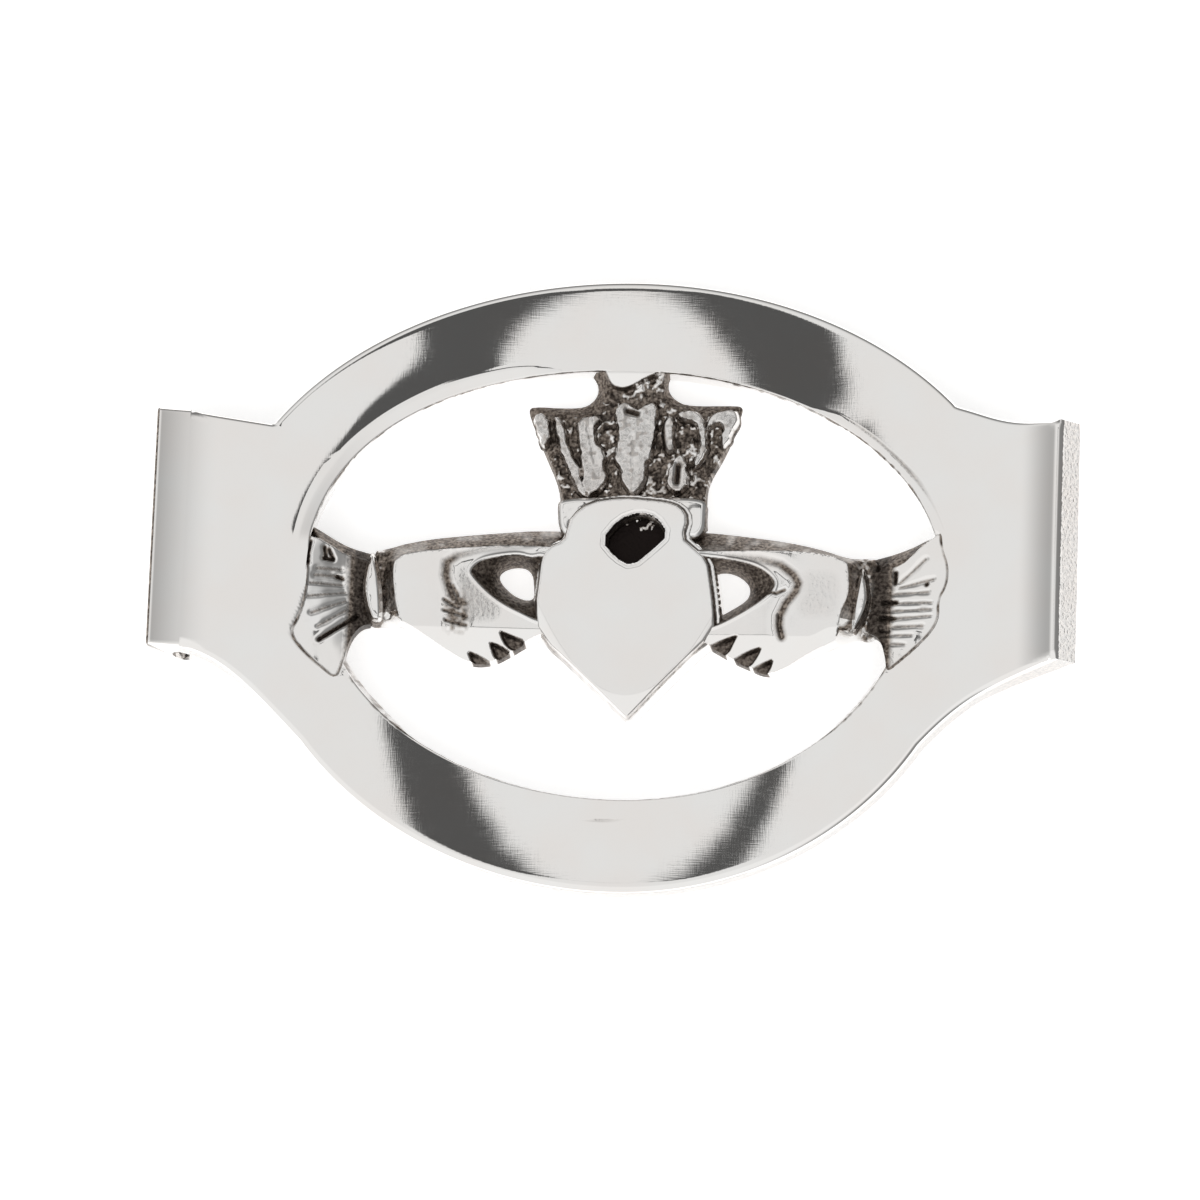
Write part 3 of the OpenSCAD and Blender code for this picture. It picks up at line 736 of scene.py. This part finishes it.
def hand_shape(x, y, wrist, knee_y, turn_x, shadow, tone, mottled, edge, face, eye, hole, groove, creases,
        gaps, seed):
    """A hand: its back, the sloping dark side above it, the opening under the thumb, the thumb's
    groove, the creases and the dark gaps between the finger tips. The fingers turn down below knee_y,
    the back slopes away beyond turn_x, and mottled is the place of a blotch of oxide, if there is one."""
    d_edge, d_face = outline(edge, x, y), outline(face, x, y)
    d_eye, d_hole = outline(eye, x, y), outline(hole, x, y)
    polish = ramp(-d_face, -0.05, 0.1)
    rough = 0.05 * grain(x, y, seed) * (1 - polish)
    at_wrist = ramp((x - wrist) * np.sign(wrist), -0.7, 0.5)
    slope = HAND_LOW + (HAND_H - HAND_LOW + rough) * fall(d_face, d_edge, 0.85)
    rough_wrist = ramp(d_face, -0.05, 0.12) * at_wrist
    top = slope * (1 - rough_wrist) + np.minimum(WRIST_H + 1.6 * rough, slope + 0.4) * rough_wrist
    top = top - KNEE_SLOPE * rounded_step(knee_y + 0.55 * ramp(np.abs(x), 11.6, 13.1) - y, 0.003)
    top = top + SIDE_SLOPE * rounded_step((x - turn_x) * np.sign(turn_x), 0.05)
    into, above_hole = np.clip(-d_eye, 0, None), np.clip(d_hole, 0, None)
    bowl = (above_hole / np.maximum(above_hole + into, 1e-6)) ** 0.7
    pitted = 0.05 * grain(x, y, seed + 3) * ramp(-d_eye, 0, 0.2)
    top = np.where(d_eye < 0, EYE_H + (top - EYE_H) * bowl + pitted, top)
    top = top + 0.06 * bump_at(d_eye - 0.07, 0.08)
    near = distance(groove, x, y)
    top = top - 0.10 * bump_at(near, 0.3)
    # painted shade: a soft patch darkens the palm round shadow, as deep as tone
    shade = tone * patch(x, y, shadow, 1.7, 1.9)
    if mottled:
        blotch = 0.42 + 0.4 * noise(x, y, 0.22, seed + 9)
        shade = shade + blotch * patch(x, y, mottled, 0.72, 1.15)
    # painted dark reflection along the thumb's groove, deeper towards its lower end
    groove_tone = 0.2 + 0.5 * ramp(y, 1.9, 0.9)
    dark_eye = 0.8 * ramp(-d_eye, -0.02, 0.1)
    oxide_and_shade = np.maximum.reduce([groove_tone * bump_at(near, 0.27), dark_eye, shade * polish])
    for k, crease in enumerate(creases):
        cut = bump_at(distance(crease, x, y), 0.12 + 0.04 * noise(x, y, 0.4, k))
        top = top - 0.12 * cut
        oxide_and_shade = np.maximum(oxide_and_shade, 0.75 * cut)
    for gap in gaps:
        d_gap = outline(gap, x, y, rounds=1)
        top = top - 0.6 * ramp(-d_gap, -0.03, 0.18)
        oxide_and_shade = np.maximum(oxide_and_shade, 0.85 * ramp(-d_gap, -0.02, 0.06))
    brown = ramp(d_face, -0.03, 0.06) * (0.6 + 0.15 * noise(x, y, 0.5, seed + 7))
    oxide_and_shade = np.maximum(oxide_and_shade, brown * np.where(y < -2.0, at_wrist, 1.0))
    oxide_and_shade = oxide_and_shade - 0.35 * rough_wrist * ramp(grain(x, y, seed), 0.1, 0.45)
    return np.minimum(-d_edge, d_hole), np.clip(top, 0.2, None), np.clip(oxide_and_shade, 0, 1)


LEFT_BAND = [(-14.15, 1.75), (-14.5, 0.9), (-14.68, -0.2), (-14.6, -1.4), (-14.3, -2.3), (-14.1, -2.75),
    (-13.4, -2.75), (-13.4, -1.9), (-13.5, -0.9), (-13.65, 0.4)]
RIGHT_BAND = [(14.75, 1.3), (14.5, 0.6), (14.3, -0.5), (14.15, -1.6), (14.15, -2.8), (14.5, -2.7),
    (15.0, -1.9), (15.25, -0.75), (15.1, 0.3)]
WRIST_BAND_H, WRIST_BAND_RISE = 1.4, 0.75


def wrist_band_shape(x, y, edge):
    """A wrist band: a rounded bead with a dark edge."""
    d = outline(edge, x, y)
    top = WRIST_BAND_H + WRIST_BAND_RISE * np.sqrt(ramp(-d, -0.05, 0.32)) + 0.05 * noise(x, y, 0.5, 81)
    return -d, top, 0.7 * (1 - ramp(-d, 0.0, 0.08))


LEFT_CUFF = dict(
    rim_x=-18.1, wrist_x=-14.3, seed=91,
    edge=[(-17.9, 3.3), (-17.2, 2.9), (-16.2, 2.3), (-15.4, 1.95), (-14.4, 1.7), (-13.9, 1.6),
        (-13.9, -2.7), (-14.6, -2.85), (-15.1, -3.4), (-15.42, -4.2), (-15.6, -5.2), (-16.0, -6.3),
        (-16.9, -5.6), (-18.0, -4.7), (-18.9, -3.6), (-18.3, -2.4), (-18.05, -1.1), (-18.0, 0.0),
        (-18.0, 1.3)],
    flutes=[[(-17.8, -0.5), (-15.9, -0.5)], [(-17.85, -1.3), (-15.7, -0.95)],
        [(-17.6, -2.3), (-15.6, -1.45)], [(-17.2, -3.1), (-15.4, -1.9)], [(-17.0, -3.8), (-15.0, -2.35)],
        [(-17.4, 0.42), (-16.0, 0.45)], [(-17.5, 0.0), (-15.9, 0.05)]],
    slits=[[(-17.85, 2.0), (-17.95, 1.3), (-17.95, 0.7)], [(-17.0, 1.7), (-16.9, 1.15)],
        [(-16.75, 1.6), (-16.5, 1.1)], [(-17.0, 1.05), (-16.5, 1.0)], [(-16.2, 0.0), (-15.9, -0.1)],
        [(-17.1, -3.9), (-16.0, -3.1), (-14.9, -2.3)]],
    flare=[(-18.9, 2.5), (-17.6, 2.3), (-16.7, 1.85), (-15.7, 1.3), (-13.5, 0.9)],
)

RIGHT_CUFF = dict(
    rim_x=19.0, wrist_x=15.3, seed=95,
    edge=[(19.3, 3.4), (18.2, 3.0), (17.6, 2.65), (16.6, 2.25), (15.6, 1.95), (15.0, 1.8), (15.0, -2.8),
        (15.5, -2.85), (15.95, -3.4), (16.2, -4.3), (16.3, -5.2), (17.0, -4.6), (17.8, -3.9), (18.8, -2.9),
        (19.3, -2.0), (19.25, -0.9), (19.75, 0.0), (19.8, 1.2), (19.4, 2.2)],
    flutes=[[(16.3, -0.4), (18.6, -0.35)], [(15.9, -0.95), (18.8, -1.0)], [(15.9, -1.45), (18.8, -1.4)],
        [(15.9, -1.95), (18.8, -1.8)], [(15.8, -2.45), (18.3, -2.4)], [(15.9, -2.95), (17.7, -2.95)],
        [(16.1, -3.45), (17.3, -3.5)], [(16.9, 0.3), (18.4, 1.6)], [(16.9, 0.0), (18.9, 0.4)]],
    slits=[[(16.6, 0.9), (16.6, 0.3)], [(15.95, -0.85), (16.7, -0.9)], [(15.85, -1.8), (16.6, -1.9)],
        [(15.9, -2.6), (16.3, -2.7)], [(18.5, 0.15), (18.5, 0.1)]],
    flare=[(14.5, 0.9), (16.0, 1.0), (17.0, 1.3), (17.6, 1.85), (18.2, 2.45), (19.5, 3.3)],
)

CUFF_LOW = 0.35  # foot of the dark wall along a cuff's upper edge
CUFF_LIFT, CUFF_FALL = 0.03, 0.72  # over the rim's face, and down from there towards the wrist


def cuff_shape(x, y, edge, flutes, slits, rim_x, wrist_x, flare, seed):
    """A fluted cuff, running down from the rim's face to the dark wrist. Above the line flare its wall
    slopes down to the window, and over the rim it has a dark border."""
    d = outline(edge, x, y)
    depth = window_depth(x, y)
    top = front_face_height(x, y, np.abs(depth)) + CUFF_LIFT - CUFF_FALL * ramp(depth, -0.4, 3.6)
    upper = smooth(flare, closed=False, rounds=1)
    wall = ramp(y - np.interp(x, upper[:, 0], upper[:, 1]), -0.02, 0.1)
    sloping = CUFF_LOW + (top - CUFF_LOW) * np.clip(-d / 0.75, 0, 1) ** 0.8
    top = top * (1 - wall) + sloping * wall
    dark_side = ramp((x - wrist_x) / (wrist_x - rim_x), -0.42, -0.2)
    top = top + 0.06 * grain(x, y, seed) * dark_side
    oxide_and_shade = np.maximum(wall * (0.74 + 0.15 * noise(x, y, 0.4, seed)), 0.92 * dark_side)
    for flute in flutes:
        near = distance(flute, x, y) / (0.15 + 0.05 * noise(x, y, 0.5, seed + 2))
        top = top - 0.09 * bump_at(near, 1)
        oxide_and_shade = np.maximum(oxide_and_shade, 0.5 * bump_at(near * 1.5, 1))
    for slit in slits:
        near = distance(slit, x, y) / 0.12
        top = top - 0.2 * bump_at(near, 1)
        oxide_and_shade = np.maximum(oxide_and_shade, bump_at(near, 1.1))
    border = bump_at(d + 0.05, 0.09) * ramp(depth, 0.6, 0.2)
    oxide_and_shade = np.maximum(oxide_and_shade, 0.85 * border * (0.65 + 0.35 * noise(x, y, 0.5, seed + 4)))
    top = top + 0.012 * noise(x, y, 0.6, seed + 5)
    return -d, np.clip(top, 0.2, None), np.clip(oxide_and_shade, 0, 1)


def motif():
    """The cast pieces, each with its grid's box and cell, its shape and the height of its underside."""
    cast = cast_silver()
    plan = [
        ("backing_plate", (-5.4, 7.4, 2.4, 13.7), 0.06, crown_plate_shape, 0.1),
        ("crown_fleurs", (-5.3, 7.3, 4.9, 11.2), 0.05, fleurs_shape, 0.8),
        ("crown_band", (-3.5, 5.7, 2.5, 6.0), 0.05, band_shape, 0.6),
        ("heart", (-5.2, 7.0, -8.7, 5.7), 0.055, heart_shape, 0.15),
        ("left_hand", (-14.4, -2.2, -5.5, 3.4), 0.05, partial(hand_shape, **LEFT_HAND), 0.1),
        ("right_hand", (3.8, 15.8, -5.7, 3.5), 0.05, partial(hand_shape, **RIGHT_HAND), 0.1),
        ("left_wrist_band", (-14.9, -13.2, -3.0, 2.0), 0.04, partial(wrist_band_shape, edge=LEFT_BAND), 0.2),
        ("right_wrist_band", (13.9, 15.5, -3.1, 1.6), 0.04, partial(wrist_band_shape, edge=RIGHT_BAND), 0.2),
        ("left_cuff", (-19.8, -13.7, -7.9, 3.6), 0.05, partial(cuff_shape, **LEFT_CUFF), 0.1),
        ("right_cuff", (14.8, 20.3, -6.0, 3.6), 0.05, partial(cuff_shape, **RIGHT_CUFF), 0.1),
    ]
    for node, box, cell, shape, low in plan:
        piece = relief(node + "_visual", box, cell, shape, low, cast)
        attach(piece, "front")
        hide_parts(node)


# ---- materials


class NodeTree:
    """Shorthands for a node tree: each takes numbers, colours or sockets and gives a new node's output."""

    def __init__(self, tree):
        self.nodes, self.links = tree.nodes, tree.links

    def feed(self, value, socket):
        if isinstance(value, (int, float, tuple)):
            socket.default_value = value
        else:
            self.links.new(value, socket)

    def maths(self, operation, a, b=0.0):
        node = self.nodes.new("ShaderNodeMath")
        node.operation = operation
        self.feed(a, node.inputs[0])
        self.feed(b, node.inputs[1])
        return node.outputs["Value"]

    def spread(self, value, low, high, to_low, to_high, kind="LINEAR"):
        """A value carried from one range to another, clamped."""
        node = self.nodes.new("ShaderNodeMapRange")
        node.interpolation_type = kind
        names = ("Value", "From Min", "From Max", "To Min", "To Max")
        for name, given in zip(names, (value, low, high, to_low, to_high)):
            self.feed(given, node.inputs[name])
        return node.outputs["Result"]

    def mixed(self, share, a, b):
        """A colour between a and b."""
        node = self.nodes.new("ShaderNodeMix")
        node.data_type = "RGBA"
        for value, place in ((share, 0), (a, 6), (b, 7)):
            self.feed(value, node.inputs[place])
        return node.outputs[2]

    def noise(self, scale, stretch=(1, 1, 1), turn=0.0, detail=3.0):
        """Noise in the clip's own coordinates; scale is in lumps per metre."""
        place = self.nodes.new("ShaderNodeTexCoord")
        mapping = self.nodes.new("ShaderNodeMapping")
        self.feed(place.outputs["Object"], mapping.inputs["Vector"])
        self.feed((0, 0, turn), mapping.inputs["Rotation"])
        self.feed(stretch, mapping.inputs["Scale"])
        texture = self.nodes.new("ShaderNodeTexNoise")
        self.feed(mapping.outputs["Vector"], texture.inputs["Vector"])
        self.feed(scale, texture.inputs["Scale"])
        self.feed(detail, texture.inputs["Detail"])
        return texture.outputs["Fac"]

    def bump(self, layers):
        """The normal that stacked bump layers of (height, depth in metres) give."""
        normal = None
        for height, depth in layers:
            node = self.nodes.new("ShaderNodeBump")
            node.inputs["Distance"].default_value = depth
            node.inputs["Strength"].default_value = 1.0
            self.feed(height, node.inputs["Height"])
            if normal:
                self.feed(normal, node.inputs["Normal"])
            normal = node.outputs["Normal"]
        return normal


def new_material(name):
    """A material with its shader's inputs and its node tree."""
    material = bpy.data.materials.new(name)
    material.use_nodes = True
    tree = material.node_tree
    return material, tree.nodes["Principled BSDF"].inputs, NodeTree(tree)


BRIGHT_SILVER, WARM_SILVER = (0.93, 0.925, 0.915, 1), (0.93, 0.905, 0.885, 1)
# oxide colours; these colours, and the roughness they bring, also serve the painted shade and painted dark
# reflections
DARK_OXIDE_AND_SHADE, PALE_OXIDE_AND_SHADE = (0.10, 0.08, 0.067, 1), (0.42, 0.36, 0.31, 1)
BLACK_OXIDE = (0.018, 0.014, 0.013, 1)
OXIDE_DULLNESS = 0.42  # roughness that oxide adds
PIT_DEPTH = 0.05  # of the specks in oxide, in mm


def silver(name, gloss, scratch):
    """Silver with polishing scratches, a slight warm tarnish and, where the point attribute says, oxide and
    painted shade.
    gloss is its least roughness, scratch the depth of its scratches in mm."""
    material, shader, tree = new_material(name)
    shader["Metallic"].default_value = 1.0
    attribute = tree.nodes.new("ShaderNodeAttribute")
    attribute.attribute_name = "oxide_and_shade"
    oxide_and_shade = attribute.outputs["Fac"]
    darkening = tree.spread(oxide_and_shade, 0.08, 0.6, 0.0, 1.0)
    cloud = tree.noise(260)
    speck = tree.noise(5200, detail=2)
    tint = tree.mixed(tree.spread(cloud, 0.35, 0.65, 0, 1), BRIGHT_SILVER, WARM_SILVER)
    brown = tree.mixed(tree.spread(speck, 0.38, 0.68, 0, 1), DARK_OXIDE_AND_SHADE, PALE_OXIDE_AND_SHADE)
    oxide_and_shade_colour = tree.mixed(tree.spread(oxide_and_shade, 0.75, 1.0, 0, 1), brown, BLACK_OXIDE)
    tree.feed(tree.mixed(darkening, tint, oxide_and_shade_colour), shader["Base Color"])
    fine = tree.noise(900, (1, 14, 14), 0.5)
    cross = tree.noise(1100, (14, 1, 14), -0.3)
    scratched = tree.spread(tree.maths("MULTIPLY", fine, cross), 0.15, 0.4, gloss, gloss + 0.025)
    dull = tree.maths("MULTIPLY", darkening, OXIDE_DULLNESS)
    tree.feed(tree.maths("ADD", scratched, dull), shader["Roughness"])
    pits = tree.maths("MULTIPLY", darkening, speck)
    layers = [(fine, scratch * MM), (cross, scratch * MM), (pits, PIT_DEPTH * MM)]
    tree.feed(tree.bump(layers), shader["Normal"])
    return material


def polished_silver():
    return bpy.data.materials.get("mirror_silver") or silver("mirror_silver", 0.012, 0.00018)


def cast_silver():
    return silver("relief_silver", 0.045, 0.0003)


def satin_silver():
    return silver("brushed_silver", 0.3, 0.003)


# ---- studio and camera

CAMERA_TILT = math.radians(12)  # off the vertical, towards -Y
CAMERA_SIDE = math.radians(5)  # and towards +X
CAMERA_ROLL = math.radians(1.05)  # the clip lies turned this much clockwise
CAMERA_FAR = 380 * MM
AIM = Vector((0, -0.2 * MM, (front_low[2] + FRONT_T) * MM))
SIZE_PX = 1200
PX_PER_MM = 17.0
AIM_OFFSET = (12.0, 13.5)  # of the aim from the picture's middle, right and up
SENSOR = 36.0  # width, in mm
FLOOR_HALF = 3.0  # in metres
FLOOR_GREY, FLOOR_GLOW = 0.82, 0.6
SUN_STRENGTH, SUN_ANGLE = 1.4, math.radians(60)
SUN_TURN = (math.radians(48), 0, math.radians(12))
PANEL_CENTRE = (-0.080, 0.2126)  # of the panel, as slopes: x / z and y / z of a direction
PANEL_R = 0.0975
RING_LEFT, RING_RIGHT = 0.035, 0.016  # its dark surround, as wide as it is mirrored left and right
RING_BACK = 0.037  # and what it is wider by towards +Y
RING_DARK = 0.11  # its brightness, as a share of the tent's
TENT = 0.80
BELOW = 0.5  # brightness below the horizon
LAMP_COLOUR = (1.0, 0.995, 0.985, 1)


def camera():
    """The camera, a little in front of AIM and to its right."""
    back = Vector((math.tan(CAMERA_SIDE), -math.tan(CAMERA_TILT), 1)).normalized()
    right = Vector((1, 0, 0)) - back * back.x
    right.normalize()
    up = back.cross(right)
    cos, sin = math.cos(CAMERA_ROLL), math.sin(CAMERA_ROLL)
    right, up = right * cos + up * sin, up * cos - right * sin
    data = bpy.data.cameras.new("camera")
    data.sensor_width = SENSOR
    data.lens = SENSOR * PX_PER_MM * (CAMERA_FAR / MM) / SIZE_PX
    data.shift_x, data.shift_y = -AIM_OFFSET[0] / SIZE_PX, -AIM_OFFSET[1] / SIZE_PX
    data.clip_start, data.clip_end = 0.01, 10
    seat = bpy.data.objects.new("camera", data)
    seat.rotation_mode = "QUATERNION"
    seat.rotation_quaternion = Matrix((right, up, back)).transposed().to_quaternion()
    seat.location = AIM + back * CAMERA_FAR
    bpy.context.scene.collection.objects.link(seat)
    bpy.context.scene.camera = seat


def floor():
    """A plain pale floor."""
    mesh = bpy.data.meshes.new("floor")
    corners = [(FLOOR_HALF * i, FLOOR_HALF * j, 0) for i, j in ((-1, -1), (1, -1), (1, 1), (-1, 1))]
    mesh.from_pydata(corners, [], [(0, 1, 2, 3)])
    plane = bpy.data.objects.new("floor", mesh)
    bpy.context.scene.collection.objects.link(plane)
    material, shader, tree = new_material("floor_paper")
    shader["Base Color"].default_value = (FLOOR_GREY, FLOOR_GREY, FLOOR_GREY, 1)
    shader["Emission Color"].default_value = (1, 1, 1, 1)
    shader["Emission Strength"].default_value = FLOOR_GLOW
    shader["Roughness"].default_value = 0.9
    shader["Specular IOR Level"].default_value = 0.1
    mesh.materials.append(material)


def sun():
    """A wide soft sun that lights the floor and is not seen in the silver."""
    light = bpy.data.lights.new("key", "SUN")
    light.energy = SUN_STRENGTH
    light.angle = SUN_ANGLE
    lamp = bpy.data.objects.new("key", light)
    lamp.rotation_euler = SUN_TURN
    lamp.visible_glossy = False
    bpy.context.scene.collection.objects.link(lamp)


def studio():
    """A dome: a bright panel over the clip with a dark surround, widest at the back, and beyond it a
    bright tent that is dimmer low down except in front."""
    world = bpy.data.worlds.new("studio")
    bpy.context.scene.world = world
    world.use_nodes = True
    tree = NodeTree(world.node_tree)
    background = tree.nodes["Background"].inputs
    place = tree.nodes.new("ShaderNodeTexCoord")
    split = tree.nodes.new("ShaderNodeSeparateXYZ")
    tree.feed(place.outputs["Generated"], split.inputs["Vector"])
    dx, dy, dz = split.outputs
    m = tree.maths

    def step(value, low, high, to_low, to_high):
        return tree.spread(value, low, high, to_low, to_high, "SMOOTHSTEP")

    east = m("SUBTRACT", m("DIVIDE", dx, dz), PANEL_CENTRE[0])
    north = m("SUBTRACT", m("DIVIDE", dy, dz), PANEL_CENTRE[1])
    out = m("SQRT", m("ADD", m("MULTIPLY", east, east), m("MULTIPLY", north, north)))
    panel = step(out, PANEL_R - 0.004, PANEL_R + 0.003, 1, 0)
    sideways = step(m("ABSOLUTE", east), 0.02, 0.045, 0, 1)
    aslant = m("DIVIDE", north, m("MAXIMUM", east, 0.02))
    ring_width = m("MULTIPLY", step(east, -0.08, 0.08, RING_RIGHT, RING_LEFT), sideways)
    ring_width = m("ADD", ring_width, step(aslant, 0.66, 0.88, 0, RING_BACK))
    beyond = m("SUBTRACT", out, m("ADD", ring_width, PANEL_R - 0.002))
    tent = step(beyond, -0.003, 0.003, 0, 1)
    low_right = step(dx, 0.17, 0.62, 1.0, 0.28)
    low_left = step(dx, -1.08, -0.72, 0.35, 1.0)
    low_back = step(dy, 0.45, 0.95, 1.0, 0.25)
    front = step(dy, -0.1, 0.12, 1.12, 1.0)
    shade = m("MULTIPLY", m("MULTIPLY", low_right, low_left), m("MULTIPLY", low_back, front))
    lit = m("MULTIPLY", m("MAXIMUM", panel, tent), 1 - RING_DARK)
    sky = m("MULTIPLY", m("MULTIPLY", m("ADD", lit, RING_DARK), TENT), shade)
    over = step(dz, 0.0, 0.05, 0, 1)
    ground = m("MULTIPLY", m("SUBTRACT", 1.0, over), BELOW)
    tree.feed(m("ADD", m("MULTIPLY", sky, over), ground), background["Strength"])
    background["Color"].default_value = LAMP_COLOUR


front_frame()
spring_fold()
rear_leaf()
motif()
floor()
sun()
studio()
camera()
bpy.context.scene.view_settings.view_transform = "Standard"
